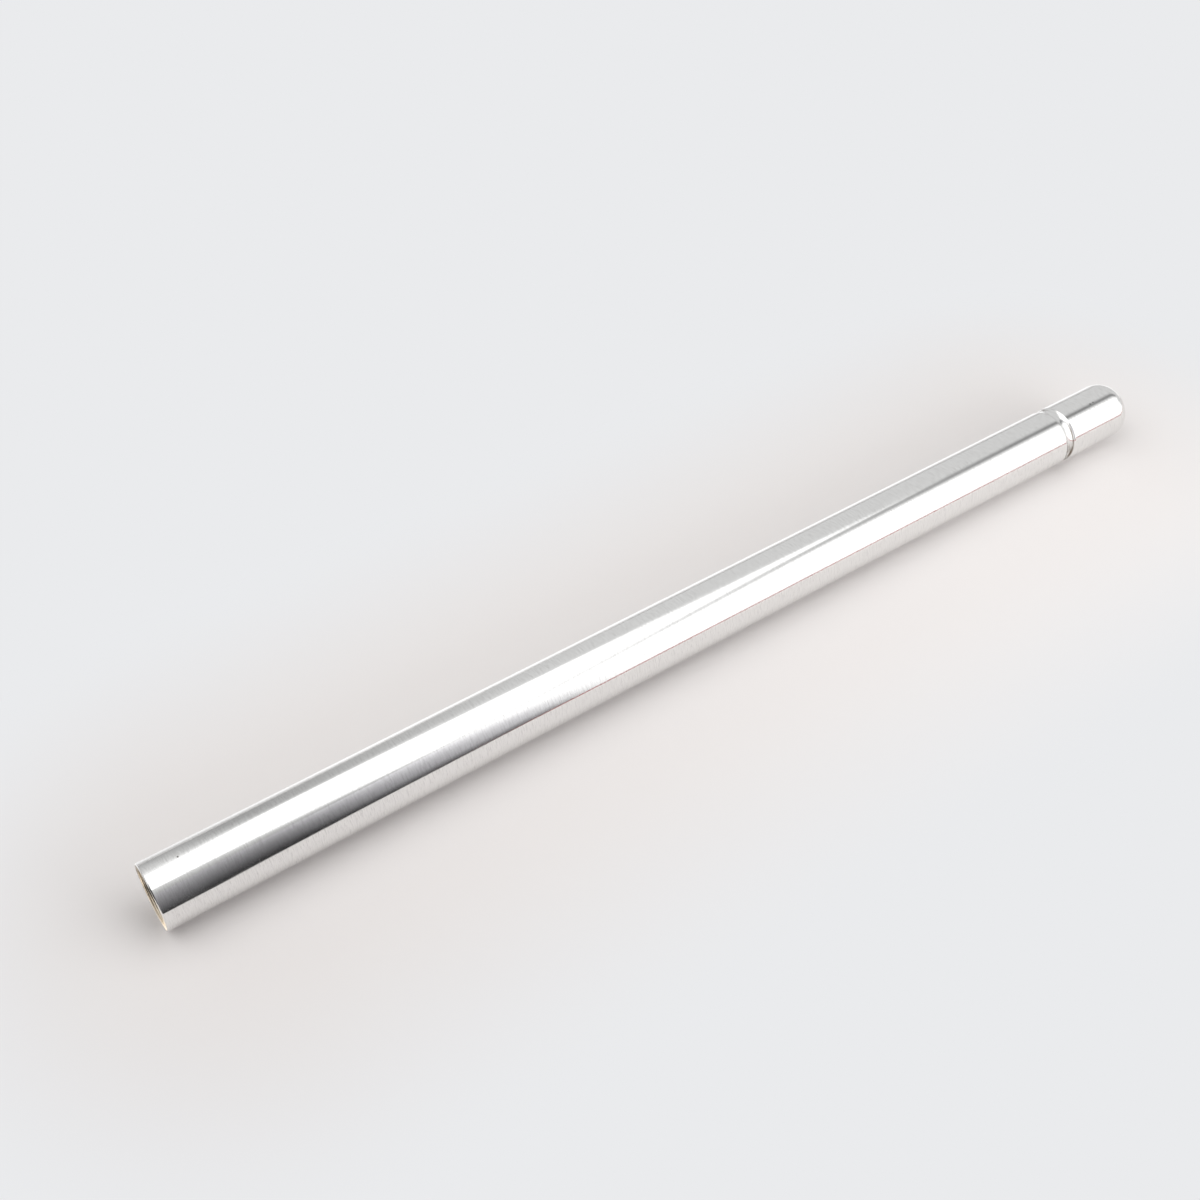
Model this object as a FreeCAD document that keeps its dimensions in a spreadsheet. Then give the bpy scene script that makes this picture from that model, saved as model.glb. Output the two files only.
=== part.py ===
import FreeCAD, Part
import math
import os

import Sketcher

# Motorcycle fork tube: one drawn steel tube, ground and hard chromed outside.
# It lies along +X as it would come to rest. The plain, threaded end is at -X and the
# grooved, drawn-in end is at +X. The origin is on the floor under the middle of the tube.
# All sizes are in millimetres.

# Driving sizes: name, value and meaning
SIZES = [
    ("tube_diameter", 30.0, "ground outside diameter"),
    ("tube_length", 553.0, "length over both ends"),
    ("wall", 3.0, "wall round the main bore"),
    ("outer_chamfer", 0.5, "chamfer on the outer edge of the plain end"),
    ("thread_wall", 2.55, "wall round the core of the fine cap thread, M26 x 1"),
    ("thread_depth", 18.0, "depth of the threaded recess"),
    ("lead_in_chamfer", 1.0, "chamfer that leads into the thread"),
    ("tip_length", 45.0, "grooved end to the middle of the ring groove"),
    ("groove_radius", 6.0, "radius of the ring groove, which is round in section"),
    ("groove_depth", 1.0, "depth of the ring groove"),
    ("swage_length", 7.0, "length over which the grooved end is drawn in"),
    ("swage_radius", 11.3, "radius of the drawn-in shoulder"),
    ("end_round", 1.7, "radius that turns the shoulder into the end face"),
    ("lip_length", 3.0, "thickness of the turned-in lip along the axis"),
    ("lip_height", 1.6, "how far the lip stands in from the main bore"),
    ("mouth_chamfer", 0.5, "chamfer on the outer edge of the lip's opening"),
]
SIZE = {name: value for name, value, meaning in SIZES}

# A cutting section stands proud of the wall by this much, so that it cuts cleanly.
CUT_MARGIN = 1.0
# Edges are found again within this distance.
FIND_WITHIN = 0.001
QUARTER_TURN = math.pi / 2

# Radii and places that follow from the driving sizes, and the same as formulas
OUTER_RADIUS = SIZE["tube_diameter"] / 2
BORE_RADIUS = OUTER_RADIUS - SIZE["wall"]
CORE_RADIUS = OUTER_RADIUS - SIZE["thread_wall"]
MOUTH_RADIUS = BORE_RADIUS - SIZE["lip_height"]
GROOVE_PLACE = SIZE["tube_length"] - SIZE["tip_length"]
GROOVE_CENTRE = OUTER_RADIUS - SIZE["groove_depth"] + SIZE["groove_radius"]
OUTER_FORMULA = "Sizes.tube_diameter / 2"
BORE_FORMULA = OUTER_FORMULA + " - Sizes.wall"
CORE_FORMULA = OUTER_FORMULA + " - Sizes.thread_wall"
MOUTH_FORMULA = BORE_FORMULA + " - Sizes.lip_height"
GROOVE_PLACE_FORMULA = "Sizes.tube_length - Sizes.tip_length"
GROOVE_CENTRE_FORMULA = OUTER_FORMULA + " - Sizes.groove_depth + Sizes.groove_radius"

# How a section numbers an edge's own points
START, END, CENTRE = range(1, 4)
# How it numbers its origin and its upright axis, which lies on the plain end face
ORIGIN, UPRIGHT_AXIS = range(-1, -3, -1)


def make_sheet(doc):
    """Write the driving sizes into a sheet, one row each, with the name as the alias."""
    sheet = doc.addObject("Spreadsheet::Sheet", "Sizes")
    for row, (name, value, meaning) in enumerate(SIZES, start=1):
        sheet.set("A%d" % row, name)
        sheet.set("B%d" % row, str(value))
        sheet.set("C%d" % row, meaning)
        sheet.setAlias("B%d" % row, name)
    doc.recompute()


def new_section(body, name):
    """Start a half-section: X runs along the tube from the plain end, Y is the radius."""
    planes = body.Origin.OriginFeatures
    plane = next(item for item in planes if item.Role == "XY_Plane")
    section = body.newObject("Sketcher::SketchObject", name)
    section.AttachmentSupport = (plane, "")
    section.MapMode = "FlatFace"
    return section


def add_line(section, x1, y1, x2, y2):
    """Add a straight edge and give its number."""
    start = FreeCAD.Vector(x1, y1, 0)
    end = FreeCAD.Vector(x2, y2, 0)
    return section.addGeometry(Part.LineSegment(start, end), False)


def add_arc(section, x, y, radius, start, end):
    """Add an arc that runs anticlockwise between two angles and give its number."""
    circle = Part.Circle(FreeCAD.Vector(x, y, 0), FreeCAD.Vector(0, 0, 1), radius)
    return section.addGeometry(Part.ArcOfCircle(circle, start, end), False)


def relate(section, kind, *where):
    """Add a rule without a number, such as a corner, a tangent or a level line."""
    section.addConstraint(Sketcher.Constraint(kind, *where))


def measured(section, kind, where):
    """Read a dimension off the section as it was drawn."""
    if kind == "Radius":
        return section.Geometry[where[0]].Radius
    step = section.getPoint(where[2], where[3]) - section.getPoint(where[0], where[1])
    return step.x if kind == "DistanceX" else step.y


def dimension(section, name, formula, kind, *where):
    """Add a dimension and bind it to the sheet."""
    value = measured(section, kind, where)
    number = section.addConstraint(Sketcher.Constraint(kind, *where, value))
    section.renameConstraint(number, name)
    section.setExpression("Constraints." + name, formula)


def draw_wall(body):
    """Draw the wall from the plain end to the drawn-in lip, with its shoulder of two arcs."""
    length = SIZE["tube_length"]
    lip = length - SIZE["lip_length"]
    shoulder = length - SIZE["swage_length"]
    centre = OUTER_RADIUS - SIZE["swage_radius"]
    inner_radius = SIZE["swage_radius"] - SIZE["wall"]
    # The end round's centre lies this far from the shoulder's centre and leans this much.
    reach = SIZE["swage_radius"] - SIZE["end_round"]
    lean = math.asin((SIZE["swage_length"] - SIZE["end_round"]) / reach)
    round_x = shoulder + reach * math.sin(lean)
    round_y = centre + reach * math.cos(lean)
    inner_lean = math.asin((lip - shoulder) / inner_radius)
    inner_y = centre + inner_radius * math.cos(inner_lean)

    section = new_section(body, "WallSection")
    outer = add_line(section, 0, OUTER_RADIUS, shoulder, OUTER_RADIUS)
    drawn_in = add_arc(section, shoulder, centre, SIZE["swage_radius"],
                       QUARTER_TURN - lean, QUARTER_TURN)
    rounded = add_arc(section, round_x, round_y, SIZE["end_round"], 0, QUARTER_TURN - lean)
    end_face = add_line(section, length, round_y, length, MOUTH_RADIUS)
    opening = add_line(section, length, MOUTH_RADIUS, lip, MOUTH_RADIUS)
    lip_face = add_line(section, lip, MOUTH_RADIUS, lip, inner_y)
    inner_arc = add_arc(section, shoulder, centre, inner_radius,
                        QUARTER_TURN - inner_lean, QUARTER_TURN)
    inner = add_line(section, shoulder, BORE_RADIUS, 0, BORE_RADIUS)
    plain_face = add_line(section, 0, BORE_RADIUS, 0, OUTER_RADIUS)

    relate(section, "Tangent", outer, END, drawn_in, END)
    relate(section, "Tangent", drawn_in, START, rounded, END)
    relate(section, "Tangent", rounded, START, end_face, START)
    relate(section, "Coincident", end_face, END, opening, START)
    relate(section, "Coincident", opening, END, lip_face, START)
    relate(section, "Coincident", lip_face, END, inner_arc, START)
    relate(section, "Tangent", inner_arc, END, inner, START)
    relate(section, "Coincident", inner, END, plain_face, START)
    relate(section, "Coincident", plain_face, END, outer, START)
    relate(section, "Coincident", inner_arc, CENTRE, drawn_in, CENTRE)
    relate(section, "Horizontal", outer)
    relate(section, "Horizontal", opening)
    relate(section, "Horizontal", inner)
    relate(section, "Vertical", end_face)
    relate(section, "Vertical", lip_face)
    relate(section, "Vertical", plain_face)
    relate(section, "PointOnObject", plain_face, START, UPRIGHT_AXIS)

    dimension(section, "outside", OUTER_FORMULA, "DistanceY", ORIGIN, START, plain_face, END)
    dimension(section, "bore", BORE_FORMULA, "DistanceY", ORIGIN, START, plain_face, START)
    dimension(section, "mouth", MOUTH_FORMULA, "DistanceY", ORIGIN, START, opening, START)
    dimension(section, "length", "Sizes.tube_length", "DistanceX", ORIGIN, START, opening, START)
    dimension(section, "lip", "Sizes.lip_length", "DistanceX", opening, END, opening, START)
    dimension(section, "swage", "Sizes.swage_length", "DistanceX", outer, END, opening, START)
    dimension(section, "swage_arc", "Sizes.swage_radius", "Radius", drawn_in)
    dimension(section, "end_arc", "Sizes.end_round", "Radius", rounded)
    return section


def draw_thread_recess(body):
    """Draw the cut that opens the bore to the thread's core at the plain end."""
    depth = SIZE["thread_depth"]
    inner = BORE_RADIUS - CUT_MARGIN

    section = new_section(body, "ThreadSection")
    top = add_line(section, -CUT_MARGIN, CORE_RADIUS, depth, CORE_RADIUS)
    floor = add_line(section, depth, CORE_RADIUS, depth, inner)
    bottom = add_line(section, depth, inner, -CUT_MARGIN, inner)
    front = add_line(section, -CUT_MARGIN, inner, -CUT_MARGIN, CORE_RADIUS)

    relate(section, "Coincident", top, END, floor, START)
    relate(section, "Coincident", floor, END, bottom, START)
    relate(section, "Coincident", bottom, END, front, START)
    relate(section, "Coincident", front, END, top, START)
    relate(section, "Horizontal", top)
    relate(section, "Horizontal", bottom)
    relate(section, "Vertical", floor)
    relate(section, "Vertical", front)

    margin = " - %s" % CUT_MARGIN
    dimension(section, "core", CORE_FORMULA, "DistanceY", ORIGIN, START, top, START)
    dimension(section, "inner", BORE_FORMULA + margin, "DistanceY", ORIGIN, START, bottom, START)
    dimension(section, "depth", "Sizes.thread_depth", "DistanceX", ORIGIN, START, top, END)
    dimension(section, "front", "%s" % CUT_MARGIN, "DistanceX", top, START, ORIGIN, START)
    return section


def draw_ring_groove(body):
    """Draw the cut of the ring groove: a half-disc that dips into the wall."""
    radius = SIZE["groove_radius"]

    section = new_section(body, "GrooveSection")
    round_floor = add_arc(section, GROOVE_PLACE, GROOVE_CENTRE, radius, -math.pi, 0)
    top = add_line(section, GROOVE_PLACE + radius, GROOVE_CENTRE,
                   GROOVE_PLACE - radius, GROOVE_CENTRE)

    relate(section, "Coincident", round_floor, END, top, START)
    relate(section, "Coincident", top, END, round_floor, START)
    relate(section, "PointOnObject", round_floor, CENTRE, top)
    relate(section, "Horizontal", top)

    centre = (ORIGIN, START, round_floor, CENTRE)
    dimension(section, "place", GROOVE_PLACE_FORMULA, "DistanceX", *centre)
    dimension(section, "centre", GROOVE_CENTRE_FORMULA, "DistanceY", *centre)
    dimension(section, "round", "Sizes.groove_radius", "Radius", round_floor)
    return section


def turn(doc, body, kind, name, section):
    """Turn a half-section round the tube's axis, to add metal or to cut it away."""
    feature = body.newObject("PartDesign::" + kind, name)
    feature.Profile = section
    feature.ReferenceAxis = (section, ["H_Axis"])
    feature.Angle = 360
    doc.recompute()
    return feature


def rim_edge(shape, along, radius):
    """Name the round edge that lies this far along the tube and has this radius."""
    for number, edge in enumerate(shape.Edges, start=1):
        if not isinstance(edge.Curve, Part.Circle):
            continue
        near_place = abs(edge.Curve.Center.x - along) < FIND_WITHIN
        near_size = abs(edge.Curve.Radius - radius) < FIND_WITHIN
        if near_place and near_size:
            return "Edge%d" % number
    raise ValueError("no round edge at %.3f with radius %.3f" % (along, radius))


def bevel(doc, body, name, base, along, radius):
    """Chamfer one round edge of the tube by the size of the same name."""
    feature = body.newObject("PartDesign::Chamfer", name.title().replace("_", ""))
    feature.Base = (base, [rim_edge(base.Shape, along, radius)])
    feature.setExpression("Size", "Sizes." + name)
    doc.recompute()
    return feature


def make_fork_tube(doc):
    """Build the tube in the order of the real work: draw it in, bore, groove, chamfer."""
    body = doc.addObject("PartDesign::Body", "ForkTube")
    body.Label = "fork_tube"
    wall = turn(doc, body, "Revolution", "Wall", draw_wall(body))
    recess = turn(doc, body, "Groove", "ThreadRecess", draw_thread_recess(body))
    ring = turn(doc, body, "Groove", "RingGroove", draw_ring_groove(body))
    outer = bevel(doc, body, "outer_chamfer", ring, 0, OUTER_RADIUS)
    lead_in = bevel(doc, body, "lead_in_chamfer", outer, 0, CORE_RADIUS)
    mouth = bevel(doc, body, "mouth_chamfer", lead_in, SIZE["tube_length"], MOUTH_RADIUS)
    body.Tip = mouth
    body.setExpression("Placement.Base.x", "-Sizes.tube_length / 2")
    body.setExpression("Placement.Base.z", OUTER_FORMULA)
    doc.recompute()
    check_each_cut([wall, recess, ring, outer, lead_in, mouth])
    return body


def check_each_cut(steps):
    """Stop if a step after the first took no metal away."""
    for before, after in zip(steps, steps[1:]):
        if not after.Shape.Volume < before.Shape.Volume:
            raise ValueError(after.Name + " cuts nothing")


def check_document(doc, bodies):
    """Stop if an object failed or a sub-part has no sound solid."""
    for item in doc.Objects:
        if "Invalid" in item.State or "Error" in item.State:
            raise ValueError(item.Name + " failed")
    for body in bodies:
        if body.Shape.isNull() or not body.Shape.isValid() or len(body.Shape.Solids) != 1:
            raise ValueError(body.Label + " is not one sound solid")


def main():
    """Build the tube, check it and write it out."""
    doc = FreeCAD.newDocument("ForkTube")
    make_sheet(doc)
    bodies = [make_fork_tube(doc)]
    check_document(doc, bodies)
    os.makedirs("parts", exist_ok=True)
    for body in bodies:
        body.Shape.exportStep("parts/" + body.Label + ".step")


main()
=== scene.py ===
import bmesh
import bpy
import math
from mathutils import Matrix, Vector


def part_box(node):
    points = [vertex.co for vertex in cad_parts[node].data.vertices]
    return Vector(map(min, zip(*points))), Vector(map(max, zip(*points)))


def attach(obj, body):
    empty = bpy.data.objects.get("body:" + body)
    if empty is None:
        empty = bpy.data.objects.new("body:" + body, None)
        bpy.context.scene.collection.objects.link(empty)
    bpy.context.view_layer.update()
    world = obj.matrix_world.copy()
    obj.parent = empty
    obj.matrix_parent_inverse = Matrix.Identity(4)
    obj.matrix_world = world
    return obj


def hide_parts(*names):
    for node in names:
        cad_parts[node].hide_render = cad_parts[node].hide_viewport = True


bl_info = {
    "name": "Fork tube",
    "version": (1, 0, 0),
    "blender": (4, 5, 0),
    "location": "View3D > Sidebar > Fork tube",
    "description": "Dresses the packed fork tube in ground hard chrome and lights it in a studio",
    "category": "Object",
}

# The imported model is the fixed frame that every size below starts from, in metres.
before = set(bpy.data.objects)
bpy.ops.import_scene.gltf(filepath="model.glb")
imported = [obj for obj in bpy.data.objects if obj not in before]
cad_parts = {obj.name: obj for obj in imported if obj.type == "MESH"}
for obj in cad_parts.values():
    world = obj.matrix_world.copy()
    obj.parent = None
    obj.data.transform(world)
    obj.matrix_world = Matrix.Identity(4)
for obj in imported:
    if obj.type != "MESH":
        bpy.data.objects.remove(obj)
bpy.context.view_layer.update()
LOW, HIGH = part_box("fork_tube")

MM = 0.001
FULL_TURN = 2 * math.pi

# The tube lies along X, with the plain, threaded end at PLAIN_END and the drawn-in one at TIP.
PLAIN_END = LOW.x
TIP = HIGH.x
OUTER_RADIUS = (HIGH.y - LOW.y) / 2
AXIS_HEIGHT = OUTER_RADIUS
AXIS = Vector((0, 0, AXIS_HEIGHT))
ALONG = Vector((1, 0, 0))
ACROSS = Vector((0, 1, 0))

# The tube is turned in this many steps, so that its mirror shows no flats.
TURN_STEPS = 256
# Steps of one turn of the thread, and of each arc in the half-section
THREAD_STEPS = 64
GROOVE_STEPS = 24
SHOULDER_STEPS = 20
ROUND_STEPS = 12
# Two places closer than this are the same.
NEAR = 0.01 * MM
# Edges that turn more sharply than this stay crisp.
CRISP_ANGLE = math.radians(24)
# A turned run has an extra ring this far from its ends, which keeps its reflections straight.
GUARD = 0.4 * MM

# Places of the small dark specks on the chrome: along X, angle round the tube, radius
SPECKS = [
    ("pit by the plain end", -0.2616, 86.9, 0.42 * MM),
    ("pit beyond the groove", 0.2541, 104.3, 0.5 * MM),
    ("second pit beyond it", 0.2563, 104.0, 0.42 * MM),
]


def linear(hex_colour):
    """Turn an sRGB hex colour into the linear red, green and blue that Blender works in."""
    digits = hex_colour.lstrip("#")
    shares = [int(digits[at:at + 2], 16) / 255 for at in (0, 2, 4)]
    return tuple(s / 12.92 if s <= 0.04045 else ((s + 0.055) / 1.055) ** 2.4 for s in shares)


def size(name, description, default):
    """Describe a length that a user may change."""
    return bpy.props.FloatProperty(name=name, description=description, default=default,
                                   precision=5, unit="LENGTH")


def colour(name, description, hex_colour):
    """Describe a colour that a user may change."""
    return bpy.props.FloatVectorProperty(name=name, description=description,
                                         default=linear(hex_colour), subtype="COLOR",
                                         size=3, min=0, max=1)


def share(name, description, default, highest=1.0):
    """Describe a plain number that a user may change."""
    return bpy.props.FloatProperty(name=name, description=description, default=default,
                                   min=0, max=highest)


class ForkTubeSizes(bpy.types.PropertyGroup):
    """Sizes of the turned tube and its thread."""
    wall: size("Wall", "Wall round the main bore", 3 * MM)
    outer_chamfer: size("Outer chamfer", "Chamfer outside the plain end", 0.5 * MM)
    edge_break: size("Edge break", "Rounding of the turned edges", 0.15 * MM)
    recess_depth: size("Recess depth", "Depth of the threaded recess", 18 * MM)
    lead_in_radius: size("Lead-in radius", "Wide end of the cone before the thread", 13.45 * MM)
    root_radius: size("Thread root", "Radius of the thread's root", 13 * MM)
    crest_radius: size("Thread crest", "Radius of the thread's crest", 12.46 * MM)
    pitch: size("Thread pitch", "Distance from one turn of the thread to the next", 1 * MM)
    tip_length: size("Tip length", "Drawn-in end to the middle of the groove", 45 * MM)
    groove_radius: size("Groove radius", "Radius of the round ring groove", 6 * MM)
    groove_depth: size("Groove depth", "Depth of the ring groove", 1 * MM)
    swage_length: size("Swage length", "Length over which the end is drawn in", 7 * MM)
    swage_radius: size("Swage radius", "Radius of the drawn-in shoulder", 11.3 * MM)
    end_round: size("End round", "Radius from the shoulder to the end face", 1.7 * MM)
    lip_length: size("Lip length", "Thickness of the turned-in lip", 3 * MM)
    mouth_radius: size("Mouth radius", "Radius of the opening in the lip", 10.4 * MM)
    mouth_chamfer: size("Mouth chamfer", "Chamfer outside that opening", 0.5 * MM)


class ForkTubeFinish(bpy.types.PropertyGroup):
    """Colours and gloss of the metal."""
    chrome: colour("Chrome", "Hard chrome seen straight on", "#efefee")
    chrome_worn: colour("Chrome in the rings", "Hard chrome in its grinding rings", "#e3e2e1")
    speck: colour("Speck", "Pits and dirt in the chrome", "#66645c")
    steel: colour("Turned steel", "Bare steel of the cut faces", "#d9cfc0")
    bore: colour("Drawn steel", "Bare steel of the bore, lightly oiled", "#5f5b50")
    # This colour paints the groove's greasy deposits together with its painted shade and painted
    # dark reflection.
    grease_and_shade: colour("Grease", "Old grease in the ring groove", "#6a5c4c")
    scratches: share("Scratches", "Share of light that the finest scratches scatter", 0.12)
    chrome_roughness: share("Chrome roughness", "Roughness of the ground chrome", 0.13)


class ForkTubeStage(bpy.types.PropertyGroup):
    """Colours and levels of the studio."""
    floor: colour("Floor", "Pale table top round the tube", "#f0ecea")
    backdrop: colour("Backdrop", "Plain backdrop that the table top runs into", "#eaebed")
    sky: share("Fill", "Level of the plain fill light all round", 0.72, 4)
    overhead: share("Overhead", "Level of the overhead diffuser", 1.45, 4)
    front: share("Front", "Level of the white front panel", 1.4, 4)
    front_fill: share("Front fill", "Level of the low light on the table top", 3.0, 9)


def link_piece(name, bm):
    """Turn a finished bmesh into a smooth piece whose faces point outwards."""
    bmesh.ops.recalc_face_normals(bm, faces=bm.faces[:])
    mesh = bpy.data.meshes.new(name)
    bm.to_mesh(mesh)
    bm.free()
    mesh.shade_smooth()
    mesh.set_sharp_from_angle(angle=CRISP_ANGLE)
    piece = bpy.data.objects.new(name, mesh)
    bpy.context.scene.collection.objects.link(piece)
    return piece


def section_point(bm, x, radius):
    """Start a half-section above the axis at this place and distance from the axis."""
    return bm.verts.new((x, 0, AXIS_HEIGHT + radius))


def straight_to(bm, last, x, radius):
    """Carry the half-section on with a straight run."""
    point = section_point(bm, x, radius)
    bm.edges.new((last, point))
    return point


def arc_round(bm, last, x, radius, angle, steps):
    """Carry the half-section on with an arc round a centre."""
    centre = Vector((x, 0, AXIS_HEIGHT + radius))
    turned = bmesh.ops.spin(bm, geom=[last], cent=centre, axis=ACROSS, angle=angle,
                            steps=steps, use_merge=False)
    return next(item for item in turned["geom_last"] if isinstance(item, bmesh.types.BMVert))


def groove_half_width(sizes):
    """Work out half the width that the round groove has at the surface."""
    return math.sqrt(sizes.groove_depth * (2 * sizes.groove_radius - sizes.groove_depth))


def draw_tube_section(bm, sizes):
    """Draw the wall as a closed half-section, from the plain end round the outside and back."""
    quarter = math.pi / 2
    middle = TIP - sizes.tip_length
    half = groove_half_width(sizes)
    above = OUTER_RADIUS + sizes.groove_radius - sizes.groove_depth
    sweep = 2 * math.asin(half / sizes.groove_radius)
    shoulder = TIP - sizes.swage_length
    centre = OUTER_RADIUS - sizes.swage_radius
    reach = sizes.swage_radius - sizes.end_round
    lean = math.asin((sizes.swage_length - sizes.end_round) / reach)
    round_x = shoulder + reach * math.sin(lean)
    round_radius = centre + reach * math.cos(lean)
    bore = OUTER_RADIUS - sizes.wall
    inner_reach = sizes.swage_radius - sizes.wall
    lip = TIP - sizes.lip_length
    inner_lean = math.asin((lip - shoulder) / inner_reach)
    chamfer = sizes.outer_chamfer
    cone = sizes.lead_in_radius - sizes.root_radius

    first = section_point(bm, PLAIN_END, OUTER_RADIUS - chamfer)
    last = straight_to(bm, first, PLAIN_END + chamfer, OUTER_RADIUS)
    last = straight_to(bm, last, PLAIN_END + chamfer + GUARD, OUTER_RADIUS)
    last = straight_to(bm, last, middle - half - GUARD, OUTER_RADIUS)
    last = straight_to(bm, last, middle - half, OUTER_RADIUS)
    last = arc_round(bm, last, middle, above, -sweep, GROOVE_STEPS)
    last = straight_to(bm, last, middle + half + GUARD, OUTER_RADIUS)
    last = straight_to(bm, last, shoulder - GUARD, OUTER_RADIUS)
    last = straight_to(bm, last, shoulder, OUTER_RADIUS)
    last = arc_round(bm, last, shoulder, centre, lean, SHOULDER_STEPS)
    last = arc_round(bm, last, round_x, round_radius, quarter - lean, ROUND_STEPS)
    last = straight_to(bm, last, TIP, sizes.mouth_radius + sizes.mouth_chamfer)
    last = straight_to(bm, last, TIP - sizes.mouth_chamfer, sizes.mouth_radius)
    last = straight_to(bm, last, lip, sizes.mouth_radius)
    inner_radius = centre + inner_reach * math.cos(inner_lean)
    last = straight_to(bm, last, lip, inner_radius)
    last = arc_round(bm, last, shoulder, centre, -inner_lean, ROUND_STEPS)
    last = straight_to(bm, last, PLAIN_END + sizes.recess_depth, bore)
    last = straight_to(bm, last, PLAIN_END + sizes.recess_depth, sizes.root_radius)
    last = straight_to(bm, last, PLAIN_END + cone, sizes.root_radius)
    last = straight_to(bm, last, PLAIN_END, sizes.lead_in_radius)
    bm.edges.new((last, first))


def distance_from_axis(point):
    """Say how far a point lies from the tube's axis."""
    return math.hypot(point.y, point.z - AXIS_HEIGHT)


def ring_edges(bm, x, radius):
    """Collect the edges of one turned rim."""
    found = []
    for edge in bm.edges:
        on_rim = all(abs(v.co.x - x) < NEAR for v in edge.verts)
        if on_rim and all(abs(distance_from_axis(v.co) - radius) < NEAR for v in edge.verts):
            found.append(edge)
    return found


def break_edge(bm, x, radius, width):
    """Round a turned rim slightly, as a file or a polishing wheel leaves it."""
    rim = ring_edges(bm, x, radius)
    if not rim:
        raise ValueError("no turned rim at %.4f with radius %.4f" % (x, radius))
    bmesh.ops.bevel(bm, geom=rim, offset=width, offset_type="OFFSET", affect="EDGES",
                    segments=3, profile=0.5, material=-1, clamp_overlap=True)


def make_tube(sizes):
    """Turn the tube from its half-section and round its rims."""
    bm = bmesh.new()
    draw_tube_section(bm, sizes)
    bmesh.ops.spin(bm, geom=bm.verts[:] + bm.edges[:], cent=AXIS, axis=ALONG,
                   angle=FULL_TURN, steps=TURN_STEPS, use_merge=True)
    bmesh.ops.remove_doubles(bm, verts=bm.verts[:], dist=0.001 * MM)
    middle = TIP - sizes.tip_length
    half = groove_half_width(sizes)
    chamfer = sizes.outer_chamfer
    small = sizes.edge_break
    break_edge(bm, middle - half, OUTER_RADIUS, small)
    break_edge(bm, middle + half, OUTER_RADIUS, small)
    break_edge(bm, PLAIN_END, OUTER_RADIUS - chamfer, small)
    break_edge(bm, PLAIN_END + chamfer, OUTER_RADIUS, small)
    break_edge(bm, PLAIN_END, sizes.lead_in_radius, small)
    return bm


def make_thread(sizes):
    """Wind the thread's ridge through the recess and fade it out in the lead-in cone."""
    half_root = 0.44 * sizes.pitch
    half_crest = 0.13 * sizes.pitch
    buried = 0.05 * MM
    turns = round((sizes.recess_depth - sizes.pitch) / sizes.pitch) - 1
    start = PLAIN_END + 0.5 * sizes.pitch
    bm = bmesh.new()
    corners = [(-half_root, sizes.root_radius + buried), (-half_crest, sizes.crest_radius),
               (half_crest, sizes.crest_radius), (half_root, sizes.root_radius + buried)]
    first = last = section_point(bm, start + corners[0][0], corners[0][1])
    for step, radius in corners[1:]:
        last = straight_to(bm, last, start + step, radius)
    bm.edges.new((last, first))
    profile = bm.verts[:] + bm.edges[:]
    steps = turns * THREAD_STEPS
    advance = Vector((turns * sizes.pitch / steps, 0, 0))
    turned = bmesh.ops.spin(bm, geom=profile, cent=AXIS, axis=ALONG, dvec=advance,
                            angle=turns * FULL_TURN, steps=steps, use_merge=False)
    ends = [profile, turned["geom_last"]]
    for end in ends:
        rim = [item for item in end if isinstance(item, bmesh.types.BMEdge)]
        bmesh.ops.contextual_create(bm, geom=rim)
    for vert in bm.verts:
        cone = sizes.lead_in_radius - (vert.co.x - PLAIN_END)
        away = distance_from_axis(vert.co)
        if away < cone:
            scale = cone / away
            vert.co.y *= scale
            vert.co.z = AXIS_HEIGHT + (vert.co.z - AXIS_HEIGHT) * scale
    return bm


def dress_faces(piece, materials, choose):
    """Give the piece its materials and pick one for each face."""
    for material in materials:
        piece.data.materials.append(material)
    for face in piece.data.polygons:
        face.material_index = choose(face)


def add_node(tree, kind, settings=(), inputs=()):
    """Add a node with its settings, and fill its inputs with values or other nodes' outputs."""
    node = tree.nodes.new(kind)
    for name, value in dict(settings).items():
        setattr(node, name, value)
    for name, value in dict(inputs).items():
        if isinstance(value, bpy.types.NodeSocket):
            tree.links.new(value, node.inputs[name])
        else:
            node.inputs[name].default_value = value
    return node


def new_material(name):
    """Start an empty node material and give its tree and its output node."""
    material = bpy.data.materials.new(name)
    material.use_nodes = True
    tree = material.node_tree
    tree.nodes.clear()
    output = tree.nodes.new("ShaderNodeOutputMaterial")
    return material, tree, output


def opaque(rgb):
    """Give a colour the fourth number that a colour socket wants."""
    return (*rgb, 1.0)


def streaks(tree, position, width, length, detail):
    """Draw noise that is this wide along the tube and this long round it."""
    scaled = add_node(tree, "ShaderNodeMapping", {"vector_type": "POINT"},
                      {"Vector": position, "Scale": (1 / width, 1 / length, 1 / length)})
    return add_node(tree, "ShaderNodeTexNoise", {"noise_dimensions": "3D"},
                    {"Vector": scaled.outputs["Vector"], "Scale": 1.0, "Detail": detail,
                     "Roughness": 0.6}).outputs["Fac"]


def ramp(tree, value, start, end, low=0.0, high=1.0):
    """Run smoothly from one level to another while a value runs from start to end."""
    return add_node(tree, "ShaderNodeMapRange", {"interpolation_type": "SMOOTHSTEP"},
                    {"Value": value, "From Min": start, "From Max": end, "To Min": low,
                     "To Max": high}).outputs["Result"]


def combine(tree, how, first, second):
    """Put two values together by one sum."""
    return add_node(tree, "ShaderNodeMath", {"operation": how},
                    {0: first, 1: second}).outputs["Value"]


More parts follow.
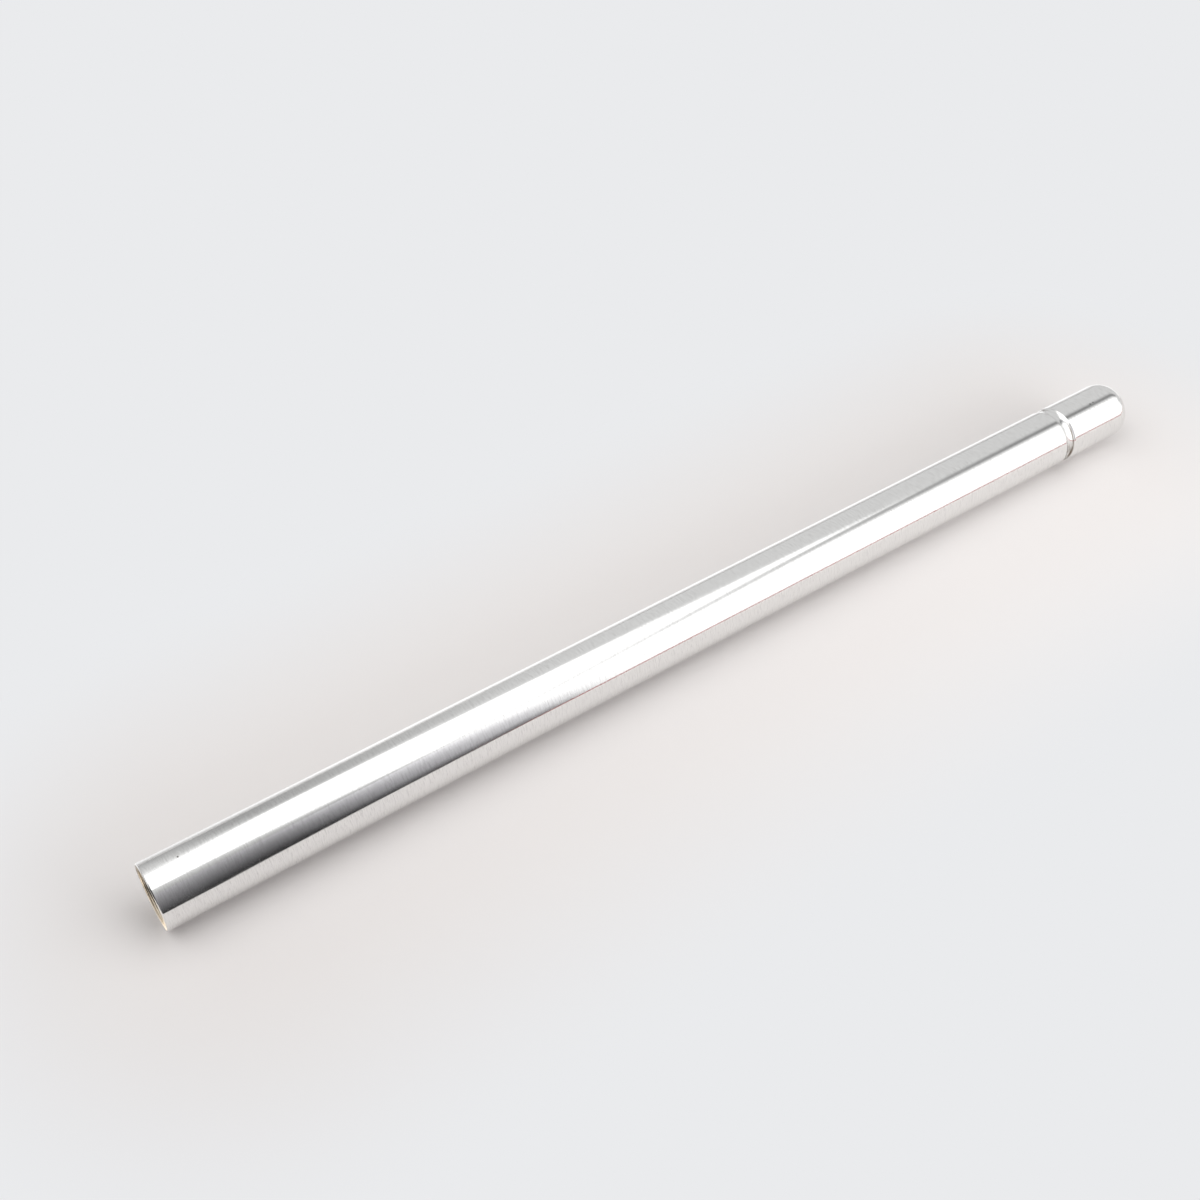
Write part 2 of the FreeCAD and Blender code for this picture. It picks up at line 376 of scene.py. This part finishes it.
def speck_mask(tree, position):
    """Draw the pits: 1 inside a pit and 0 outside it."""
    total = None
    for name, x, angle, radius in SPECKS:
        turn = math.radians(angle)
        place = (x, OUTER_RADIUS * math.cos(turn), AXIS_HEIGHT + OUTER_RADIUS * math.sin(turn))
        away = add_node(tree, "ShaderNodeVectorMath", {"operation": "DISTANCE", "label": name},
                        {0: position, 1: place})
        pit = ramp(tree, away.outputs["Value"], 0.5 * radius, 1.3 * radius, 1.0, 0.0)
        total = pit if total is None else combine(tree, "MAXIMUM", total, pit)
    return total


def groove_grease_and_painted_shade(tree, position, sizes):
    """Draw greasy deposits in the groove mixed with painted light: a film low down that is also
    painted shade, and a thin line by its far rim that is also a painted dark reflection.
    """
    middle = TIP - sizes.tip_length
    place = add_node(tree, "ShaderNodeSeparateXYZ", {}, {"Vector": position})
    from_middle = combine(tree, "SUBTRACT", place.outputs["X"], middle)
    away = add_node(tree, "ShaderNodeMath", {"operation": "ABSOLUTE"}, {0: from_middle})
    patchy = streaks(tree, position, 1.2 * MM, 5 * MM, 3.0)
    # The film is painted shade as well as greasy deposits: it darkens the groove from 6 mm above
    # the axis downwards.
    film = combine(tree, "MULTIPLY", ramp(tree, away.outputs["Value"], 3.0 * MM, 1.8 * MM),
                   ramp(tree, place.outputs["Z"], 21 * MM, 15 * MM))
    film = combine(tree, "MULTIPLY", film, ramp(tree, patchy, 0.3, 0.6))
    # The line is a painted dark reflection by the far rim, with greasy deposits, and it fades out
    # near the top of the tube.
    from_line = combine(tree, "SUBTRACT", from_middle, 2.1 * MM)
    beside = add_node(tree, "ShaderNodeMath", {"operation": "ABSOLUTE"}, {0: from_line})
    line = combine(tree, "MULTIPLY", ramp(tree, beside.outputs["Value"], 0.5 * MM, 0.15 * MM),
                   ramp(tree, place.outputs["Z"], 29 * MM, 25 * MM, 0.0, 0.8))
    line = combine(tree, "MULTIPLY", line, ramp(tree, patchy, 0.2, 0.5, 0.3, 1.0))
    return combine(tree, "MAXIMUM", film, line)


def ground_hard_chrome(finish, sizes):
    """Hard chrome, centreless ground and polished."""
    # It is a mirror round the tube and slightly blurred along it, because the grinding lines
    # run round it. They are about 0.02 mm apart, and drawn 0.5 mm wide so that they show.
    material, tree, output = new_material("ground hard chrome")
    position = add_node(tree, "ShaderNodeTexCoord").outputs["Object"]
    fine = streaks(tree, position, 0.5 * MM, 5 * MM, 3.0)
    broad = streaks(tree, position, 14 * MM, 60 * MM, 2.0)
    worn = add_node(tree, "ShaderNodeMapRange", {},
                    {"Value": fine, "From Min": 0.42, "From Max": 0.72})
    tone = add_node(tree, "ShaderNodeMix", {"data_type": "RGBA"},
                    {"Factor": worn.outputs["Result"], "A": opaque(finish.chrome),
                     "B": opaque(finish.chrome_worn)})
    specks = speck_mask(tree, position)
    tone = add_node(tree, "ShaderNodeMix", {"data_type": "RGBA"},
                    {"Factor": specks, "A": tone.outputs["Result"],
                     "B": opaque(finish.speck)})
    # Greasy deposits in the groove, with painted shade low down and a painted dark reflection by
    # the far rim.
    dirt = groove_grease_and_painted_shade(tree, position, sizes)
    tone = add_node(tree, "ShaderNodeMix", {"data_type": "RGBA"},
                    {"Factor": dirt, "A": tone.outputs["Result"],
                     "B": opaque(finish.grease_and_shade)})
    level = finish.chrome_roughness
    rough = add_node(tree, "ShaderNodeMapRange", {},
                     {"Value": broad, "From Min": 0.3, "From Max": 0.7,
                      "To Min": 0.9 * level, "To Max": 1.1 * level})
    bump = add_node(tree, "ShaderNodeBump", {},
                    {"Height": fine, "Strength": 0.35, "Distance": 0.01 * MM})
    tangent = add_node(tree, "ShaderNodeTangent", {"direction_type": "RADIAL", "axis": "X"})
    shader = add_node(tree, "ShaderNodeBsdfPrincipled", {},
                      {"Base Color": tone.outputs["Result"], "Metallic": 1.0,
                       "Roughness": rough.outputs["Result"], "Anisotropic": 0.8,
                       "Anisotropic Rotation": 0.25, "Tangent": tangent.outputs["Tangent"],
                       "Normal": bump.outputs["Normal"]})
    # The scratches scatter a little light, which shows as a fine grain in the dark reflections.
    scratches = combine(tree, "MULTIPLY", ramp(tree, fine, 0.45, 0.75, 0.0, finish.scratches),
                        ramp(tree, streaks(tree, position, 1.3 * MM, 2.5 * MM, 2.0), 0.4, 0.6))
    scatter = add_node(tree, "ShaderNodeBsdfPrincipled", {},
                       {"Base Color": opaque(finish.chrome), "Metallic": 1.0,
                        "Roughness": 0.6})
    both = add_node(tree, "ShaderNodeMixShader", {},
                    {"Fac": scratches, 1: shader.outputs["BSDF"], 2: scatter.outputs["BSDF"]})
    tree.links.new(both.outputs["Shader"], output.inputs["Surface"])
    return material


def turned_steel(finish):
    """Carbon steel, faced and bored on a lathe."""
    # It is a satin metal with fine rings round the axis, 0.1 mm of feed per turn, drawn 0.25 mm.
    material, tree, output = new_material("turned carbon steel")
    position = add_node(tree, "ShaderNodeTexCoord").outputs["Object"]
    centred = add_node(tree, "ShaderNodeVectorMath", {"operation": "SUBTRACT"},
                       {0: position, 1: tuple(AXIS)})
    flat = add_node(tree, "ShaderNodeVectorMath", {"operation": "MULTIPLY"},
                    {0: centred.outputs["Vector"], 1: (0, 1, 1)})
    away = add_node(tree, "ShaderNodeVectorMath", {"operation": "LENGTH"},
                    {0: flat.outputs["Vector"]})
    parts = add_node(tree, "ShaderNodeSeparateXYZ", {}, {"Vector": position})
    run = combine(tree, "ADD", away.outputs["Value"], parts.outputs["X"])
    feed = combine(tree, "DIVIDE", run, 0.25 * MM)
    rings = add_node(tree, "ShaderNodeTexNoise", {"noise_dimensions": "1D"},
                     {"W": feed, "Scale": 1.0, "Detail": 2.0})
    stain = streaks(tree, position, 3 * MM, 3 * MM, 3.0)
    tone = add_node(tree, "ShaderNodeMix", {"data_type": "RGBA"},
                    {"Factor": stain, "A": opaque(finish.steel), "B": opaque(finish.bore)})
    bump = add_node(tree, "ShaderNodeBump", {},
                    {"Height": rings.outputs["Fac"], "Strength": 0.4, "Distance": 0.02 * MM})
    shader = add_node(tree, "ShaderNodeBsdfPrincipled", {},
                      {"Base Color": tone.outputs["Result"], "Metallic": 1.0, "Roughness": 0.32,
                       "Normal": bump.outputs["Normal"]})
    tree.links.new(shader.outputs["BSDF"], output.inputs["Surface"])
    return material


def drawn_steel(finish):
    """Cold-drawn seamless steel with a film of oil, as the bore of a tube is left."""
    # It is a dull, slightly brown metal with faint lines along the tube from the drawing plug.
    material, tree, output = new_material("drawn steel bore")
    position = add_node(tree, "ShaderNodeTexCoord").outputs["Object"]
    lines = streaks(tree, position, 40 * MM, 0.7 * MM, 3.0)
    film = streaks(tree, position, 12 * MM, 6 * MM, 2.0)
    tone = add_node(tree, "ShaderNodeMix", {"data_type": "RGBA"},
                    {"Factor": lines, "A": opaque(finish.bore), "B": opaque(finish.steel)})
    rough = add_node(tree, "ShaderNodeMapRange", {},
                     {"Value": film, "From Min": 0.3, "From Max": 0.7, "To Min": 0.25,
                      "To Max": 0.45})
    bump = add_node(tree, "ShaderNodeBump", {},
                    {"Height": lines, "Strength": 0.3, "Distance": 0.02 * MM})
    shader = add_node(tree, "ShaderNodeBsdfPrincipled", {},
                      {"Base Color": tone.outputs["Result"], "Metallic": 1.0,
                       "Roughness": rough.outputs["Result"], "Normal": bump.outputs["Normal"]})
    tree.links.new(shader.outputs["BSDF"], output.inputs["Surface"])
    return material


CHROME, TURNED, DRAWN = range(3)


def pick_tube_finish(sizes):
    """Say which material a face of the tube has."""
    inner = OUTER_RADIUS - sizes.wall + NEAR
    past_cone = PLAIN_END + sizes.lead_in_radius - sizes.root_radius
    past_recess = PLAIN_END + sizes.recess_depth
    mouth_reach = sizes.mouth_radius + sizes.mouth_chamfer + NEAR

    def choose(face):
        away = distance_from_axis(face.center)
        x = face.center.x
        if face.normal.x < -0.9 or (x < past_recess + NEAR and away < sizes.lead_in_radius):
            return TURNED
        if x > TIP - sizes.lip_length - NEAR and away < mouth_reach:
            return TURNED
        if face.normal.x > 0.95 and x > TIP - 0.05 * MM:
            return TURNED
        if away < inner and past_cone < x and pointing_in(face):
            return DRAWN
        return CHROME

    return choose


def pointing_in(face):
    """Say whether a face looks towards the axis."""
    outwards = Vector((0, face.center.y, face.center.z - AXIS_HEIGHT))
    return face.normal.dot(outwards) < 0


class FORKTUBE_OT_make_tube(bpy.types.Operator):
    """Turn the tube, with its ring groove, drawn-in end and threaded recess"""
    bl_idname = "fork_tube.make_tube"
    bl_label = "Make the tube"

    def execute(self, context):
        sizes = context.scene.fork_tube_sizes
        finish = context.scene.fork_tube_finish
        tube = link_piece("tube", make_tube(sizes))
        metals = [ground_hard_chrome(finish, sizes), turned_steel(finish), drawn_steel(finish)]
        dress_faces(tube, metals, pick_tube_finish(sizes))
        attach(tube, "root")
        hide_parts("fork_tube")
        return {"FINISHED"}


class FORKTUBE_OT_make_thread(bpy.types.Operator):
    """Wind the fine thread that takes the fork cap"""
    bl_idname = "fork_tube.make_thread"
    bl_label = "Make the cap thread"

    def execute(self, context):
        sizes = context.scene.fork_tube_sizes
        thread = link_piece("cap_thread", make_thread(sizes))
        dress_faces(thread, [bpy.data.materials["turned carbon steel"]], lambda face: 0)
        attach(thread, "root")
        return {"FINISHED"}


# Studio, in metres: the diffuser hangs level over the tube, and the front panels stand
# behind the camera.
CEILING = 0.9
FRONT = -0.6
BACK = 1.05
FAR_LEFT = -1.4
FAR_RIGHT = 2.4
# The dark card ends and the white panel starts here.
CARD_END = 0.15
# The overhead diffuser starts here beside the dark card, and ends here at the back left.
DIFFUSER_FRONT = -0.276
DIFFUSER_BACK = 0.6
# Cards on the table top lie this high, and the front panels start this high.
ON_TABLE = 1 * MM
PANEL_FOOT = 20 * MM

# The camera's place, its lens in millimetres, how far it looks down and its turn from +X
CAMERA_PLACE = (-0.31184, -0.36341, 0.50411)
CAMERA_LENS = 43.44
CAMERA_DIP = 45.25
CAMERA_TURN = 55.37

FLOOR_REACH = 3.0
# The table top blends into the backdrop between these distances from the tube.
BLEND_START = 0.04
BLEND_END = 0.16

# Outline of the overhead diffuser, seen from above
OVERHEAD = [(FAR_LEFT, DIFFUSER_BACK), (-0.2, DIFFUSER_BACK), (-0.085, 0.82), (0.01, 0.87),
            (0.08, 0.85), (0.22, 0.675), (0.37, 0.53), (0.42, 0.465), (0.475, 0.34), (0.6, 0.25),
            (0.7, 0.175), (0.78, 0.1), (0.68, 0.07), (0.555, -0.01), (0.37, -0.28),
            (CARD_END, FRONT), (0.02, -0.46), (-0.11, -0.31),
            (-0.2, DIFFUSER_FRONT), (FAR_LEFT, DIFFUSER_FRONT)]
# The diffuser's frame, behind its left part
OVERHEAD_FRAME = [(FAR_LEFT, DIFFUSER_BACK), (-0.2, DIFFUSER_BACK), (-0.085, 0.82),
                  (-0.03, 0.85), (-0.06, BACK), (FAR_LEFT, BACK)]
# The dark gap between the diffuser and the front panel, and the shade behind it
GAP = [(0.37, -0.28), (0.43, -0.18), (0.555, -0.01), (0.68, 0.07), (0.78, 0.1),
       (FAR_RIGHT, 0.1), (FAR_RIGHT, -0.04), (0.82, -0.03), (0.72, -0.04), (0.615, -0.095),
       (0.477, -0.235), (0.4, -0.32)]
GAP_SHADE = [(0.78, 0.1), (FAR_RIGHT, 0.1), (FAR_RIGHT, 0.25), (0.82, 0.25)]
# The dark card's foot on the table top
DARK_FOOT = [(FAR_LEFT, FRONT), (0.05, FRONT), (-0.02, -0.42), (-0.1, -0.41), (-0.16, -0.28),
             (-0.207, -0.2), (-0.235, -0.14), (-0.27, -0.13), (FAR_LEFT, -0.13)]
# The front panel's upper part: beside the gap, then beyond it
FRONT_SLANT = [(CARD_END, FRONT), (0.39, -0.31), (0.477, -0.235), (0.615, -0.095),
               (0.615, FRONT)]
FRONT_TOP = [(0.615, -0.095), (0.72, -0.04), (0.82, -0.03), (FAR_RIGHT, -0.04),
             (FAR_RIGHT, FRONT), (0.615, FRONT)]


def make_card(name, corners, level, tint=(1, 1, 1)):
    """Make a flat glowing card that the metal mirrors and the camera doesn't see."""
    bm = bmesh.new()
    bm.faces.new([bm.verts.new(corner) for corner in corners])
    mesh = bpy.data.meshes.new(name)
    bm.to_mesh(mesh)
    bm.free()
    card = bpy.data.objects.new(name, mesh)
    bpy.context.scene.collection.objects.link(card)
    material, tree, output = new_material(name)
    glow = add_node(tree, "ShaderNodeEmission", {}, {"Color": opaque(tint), "Strength": level})
    tree.links.new(glow.outputs["Emission"], output.inputs["Surface"])
    mesh.materials.append(material)
    card.visible_camera = False
    return card


def fade_card(card, start, end, low, high, how="MULTIPLY"):
    """Let a card's glow run evenly from one level at a point to another at a second point."""
    # The first fade replaces the card's plain level, and later ones are put together with it.
    tree = card.data.materials[0].node_tree
    glow = next(node for node in tree.nodes if node.bl_idname == "ShaderNodeEmission")
    way = Vector(end) - Vector(start)
    position = add_node(tree, "ShaderNodeTexCoord").outputs["Object"]
    from_start = add_node(tree, "ShaderNodeVectorMath", {"operation": "SUBTRACT"},
                          {0: position, 1: start})
    passed = add_node(tree, "ShaderNodeVectorMath", {"operation": "DOT_PRODUCT"},
                      {0: from_start.outputs["Vector"], 1: tuple(way / way.length_squared)})
    level = add_node(tree, "ShaderNodeMapRange", {},
                     {"Value": passed.outputs["Value"], "To Min": low, "To Max": high})
    result = level.outputs["Result"]
    if glow.inputs["Strength"].is_linked:
        other = glow.inputs["Strength"].links[0].from_socket
        result = combine(tree, how, other, result)
    tree.links.new(result, glow.inputs["Strength"])


def show_in_metal_only(card):
    """Keep a card out of the light and shade on the table top."""
    card.visible_diffuse = False
    card.visible_shadow = False


def level_outline(points, height):
    """Lift an outline seen from above to a height."""
    return [(x, y, height) for x, y in points]


def upright_card(left, right, y, bottom, top):
    """Give the corners of a card that stands along X."""
    return [(left, y, bottom), (right, y, bottom), (right, y, top), (left, y, top)]


def table_card(left, right, front, back):
    """Give the corners of an oblong card that lies on the table top."""
    return level_outline([(left, front), (right, front), (right, back), (left, back)], ON_TABLE)


def make_floor(stage):
    """Lay a large pale table top under the tube, which runs into the plain backdrop."""
    bm = bmesh.new()
    bmesh.ops.create_grid(bm, x_segments=1, y_segments=1, size=FLOOR_REACH)
    mesh = bpy.data.meshes.new("floor")
    bm.to_mesh(mesh)
    bm.free()
    floor = bpy.data.objects.new("floor", mesh)
    bpy.context.scene.collection.objects.link(floor)
    material, tree, output = new_material("pale table top")
    matt = add_node(tree, "ShaderNodeBsdfDiffuse", {}, {"Color": opaque(stage.floor)})
    plain = add_node(tree, "ShaderNodeEmission", {}, {"Color": opaque(stage.backdrop)})
    # The distance from the tube's middle line decides how much of the backdrop shows.
    position = add_node(tree, "ShaderNodeTexCoord").outputs["Object"]
    parts = add_node(tree, "ShaderNodeSeparateXYZ", {}, {"Vector": position})
    along = add_node(tree, "ShaderNodeMath", {"operation": "ABSOLUTE"}, {0: parts.outputs["X"]})
    past = combine(tree, "SUBTRACT", along.outputs["Value"], TIP - BLEND_START)
    past = combine(tree, "MAXIMUM", past, 0.0)
    away = add_node(tree, "ShaderNodeCombineXYZ", {}, {"X": past, "Y": parts.outputs["Y"]})
    away = add_node(tree, "ShaderNodeVectorMath", {"operation": "LENGTH"},
                    {0: away.outputs["Vector"]})
    far = ramp(tree, away.outputs["Value"], BLEND_START, BLEND_END)
    path = add_node(tree, "ShaderNodeLightPath")
    shown = combine(tree, "MULTIPLY", far, path.outputs["Is Camera Ray"])
    both = add_node(tree, "ShaderNodeMixShader", {},
                    {"Fac": shown, 1: matt.outputs["BSDF"], 2: plain.outputs["Emission"]})
    tree.links.new(both.outputs["Shader"], output.inputs["Surface"])
    mesh.materials.append(material)


def light_world(stage):
    """Fill the room evenly, and show the camera the backdrop's colour beyond the floor."""
    # The table top gets a tenth of this fill, so that the soft shade by the tube stays.
    world = bpy.data.worlds.new("studio")
    world.use_nodes = True
    tree = world.node_tree
    tree.nodes.clear()
    path = add_node(tree, "ShaderNodeLightPath")
    level = add_node(tree, "ShaderNodeMapRange", {},
                     {"Value": path.outputs["Is Diffuse Ray"], "To Min": stage.sky,
                      "To Max": 0.1 * stage.sky})
    fill = add_node(tree, "ShaderNodeBackground", {},
                    {"Color": opaque((1, 1, 1)), "Strength": level.outputs["Result"]})
    seen = add_node(tree, "ShaderNodeBackground", {},
                    {"Color": opaque(stage.backdrop), "Strength": 1.0})
    both = add_node(tree, "ShaderNodeMixShader", {},
                    {"Fac": path.outputs["Is Camera Ray"], 1: fill.outputs["Background"],
                     2: seen.outputs["Background"]})
    add_node(tree, "ShaderNodeOutputWorld", {}, {"Surface": both.outputs["Shader"]})
    bpy.context.scene.world = world


def hang_overhead(stage):
    """Hang the diffuser over the tube, with the dark gap beside it."""
    over = make_card("overhead diffuser", level_outline(OVERHEAD, CEILING), stage.overhead)
    fade_card(over, (0.6, 0, CEILING), (0.8, 0, CEILING), stage.overhead, 0.65)
    side = make_card("diffuser frame", level_outline(OVERHEAD_FRAME, CEILING), 1.0)
    fade_card(side, (0, BACK, CEILING), (0, DIFFUSER_BACK, CEILING), 0.74, 1.1)
    gap = make_card("gap", level_outline(GAP, CEILING), 0.5)
    fade_card(gap, (0.55, 0, CEILING), (0.95, 0, CEILING), 0.62, 0.27)
    shade = make_card("gap shade", level_outline(GAP_SHADE, CEILING), 0.6)
    fade_card(shade, (0, 0.08, CEILING), (0, 0.25, CEILING), 0.38, 0.7)
    slant = make_card("front panel slant", level_outline(FRONT_SLANT, CEILING), stage.front)
    fade_card(slant, (0.54, -0.16, CEILING), (0.6, -0.22, CEILING), 0.7, stage.front)
    top = make_card("front panel top", level_outline(FRONT_TOP, CEILING), stage.front)
    fade_card(top, (0.9, -0.035, CEILING), (0.9, -0.26, CEILING), 0.4, stage.front)


def stand_front(stage):
    """Stand the front panel and the dark card behind the camera."""
    make_card("front panel", upright_card(CARD_END, FAR_RIGHT, FRONT, PANEL_FOOT, CEILING),
              stage.front)
    fill = make_card("front fill", upright_card(0.0, 0.8, FRONT + 0.01, PANEL_FOOT, 0.4),
                     stage.front_fill)
    fill.visible_glossy = False
    edge = make_card("table edge", [(0.05, FRONT, PANEL_FOOT), (FAR_RIGHT, FRONT, PANEL_FOOT),
                                    (FAR_RIGHT, -0.24, ON_TABLE), (0.05, -0.36, ON_TABLE)], 0.6,
                     linear("#e27f7c"))
    show_in_metal_only(edge)
    dark = make_card("dark card", upright_card(FAR_LEFT, CARD_END, FRONT, 0.0, CEILING), 1.0,
                     (1.0, 0.985, 1.03))
    fade_card(dark, (-0.12, FRONT, 0), (CARD_END, FRONT, 0), 0.0, 0.6)
    fade_card(dark, (0, FRONT, 0), (0, FRONT, 0.2), 0.05, 1.0)
    fade_card(dark, (0, FRONT, 0), (0, FRONT, CEILING), 0.015, 0.43, "ADD")
    fade_card(dark, (-0.2, FRONT, 0), (-0.26, FRONT, 0), 0.0, 0.1, "ADD")
    foot = make_card("dark card foot", level_outline(DARK_FOOT, ON_TABLE), 0.04)
    show_in_metal_only(foot)
    over = make_card("dark card top",
                     level_outline([(FAR_LEFT, FRONT), (FAR_LEFT, DIFFUSER_FRONT),
                                    (-0.2, DIFFUSER_FRONT), (-0.11, -0.31), (0.02, -0.46),
                                    (CARD_END, FRONT)], CEILING), 0.7)
    fade_card(over, (0, FRONT, CEILING), (0, DIFFUSER_FRONT, CEILING), 0.42, 0.77)


def stand_left():
    """Stand a dark card and lay a light one by the plain end, for its cut faces alone."""
    x = -0.75
    back = 0.12
    dark = make_card("dark card left", [(x, FRONT, 0.0), (x, back, 0.0), (x, back, CEILING),
                                        (x, FRONT, CEILING)], 0.05)
    light = make_card("light card left", table_card(-0.305, -0.277, -0.008, 0.012), 2.4,
                      linear("#fff4e6"))
    for card in (dark, light):
        show_in_metal_only(card)


def stand_back():
    """Stand the grey cards behind the tube, the left one brighter towards its top."""
    left = make_card("back card left", upright_card(FAR_LEFT, -0.15, BACK, 0.0, CEILING), 1.0)
    fade_card(left, (0, BACK, 0), (0, BACK, CEILING), 0.41, 0.83)
    middle = make_card("back card middle", upright_card(-0.15, -0.06, BACK, 0.0, CEILING), 1.0)
    fade_card(middle, (0, BACK, 0.45), (0, BACK, CEILING), 0.4, 0.68)
    right = make_card("back card right", upright_card(-0.06, 0.4, BACK, 0.0, CEILING), 1.0)
    fade_card(right, (-0.06, BACK, 0), (0.32, BACK, 0), 0.43, 0.7)
    rebound = make_card("light off the table top", table_card(-0.4, 0.9, 0.03, 0.3), 1.0)
    fade_card(rebound, (0, 0.05, 0), (0, 0.2, 0), 1.25, 0.65)
    fade_card(rebound, (-0.27, 0, 0), (-0.15, 0, 0), 0.8, 1.0)
    show_in_metal_only(rebound)


def place_camera():
    """Set the camera where the photograph was taken from."""
    lens_data = bpy.data.cameras.new("camera")
    lens_data.sensor_width = 36
    lens_data.lens = CAMERA_LENS
    lens_data.clip_start = 0.01
    camera = bpy.data.objects.new("camera", lens_data)
    camera.location = CAMERA_PLACE
    camera.rotation_euler = (math.radians(90 - CAMERA_DIP), 0, math.radians(CAMERA_TURN - 90))
    bpy.context.scene.collection.objects.link(camera)
    bpy.context.scene.camera = camera


class FORKTUBE_OT_set_stage(bpy.types.Operator):
    """Lay the floor, hang the lights and set the camera"""
    bl_idname = "fork_tube.set_stage"
    bl_label = "Set the stage"

    def execute(self, context):
        stage = context.scene.fork_tube_stage
        context.scene.view_settings.view_transform = "Standard"
        make_floor(stage)
        light_world(stage)
        hang_overhead(stage)
        stand_front(stage)
        stand_left()
        stand_back()
        place_camera()
        return {"FINISHED"}


class FORKTUBE_PT_sidebar(bpy.types.Panel):
    """Lists the steps of the fork tube"""
    bl_idname = "FORKTUBE_PT_sidebar"
    bl_label = "Fork tube"
    bl_space_type = "VIEW_3D"
    bl_region_type = "UI"
    bl_category = "Fork tube"

    def draw(self, context):
        for step in STEPS:
            self.layout.operator(step.bl_idname)
        scene = context.scene
        for group in (scene.fork_tube_sizes, scene.fork_tube_finish, scene.fork_tube_stage):
            box = self.layout.box()
            for name in group.__annotations__:
                box.prop(group, name)


STEPS = [FORKTUBE_OT_make_tube, FORKTUBE_OT_make_thread, FORKTUBE_OT_set_stage]
GROUPS = {
    "fork_tube_sizes": ForkTubeSizes,
    "fork_tube_finish": ForkTubeFinish,
    "fork_tube_stage": ForkTubeStage,
}


def register():
    """Make the settings, the steps and the panel known to Blender."""
    for name, group in GROUPS.items():
        bpy.utils.register_class(group)
        setattr(bpy.types.Scene, name, bpy.props.PointerProperty(type=group))
    for step in STEPS:
        bpy.utils.register_class(step)
    bpy.utils.register_class(FORKTUBE_PT_sidebar)


def unregister():
    """Take them away again."""
    bpy.utils.unregister_class(FORKTUBE_PT_sidebar)
    for step in reversed(STEPS):
        bpy.utils.unregister_class(step)
    for name, group in reversed(GROUPS.items()):
        delattr(bpy.types.Scene, name)
        bpy.utils.unregister_class(group)


def main():
    """Run every step in order."""
    register()
    bpy.ops.fork_tube.make_tube()
    bpy.ops.fork_tube.make_thread()
    bpy.ops.fork_tube.set_stage()


if __name__ == "__main__":
    main()
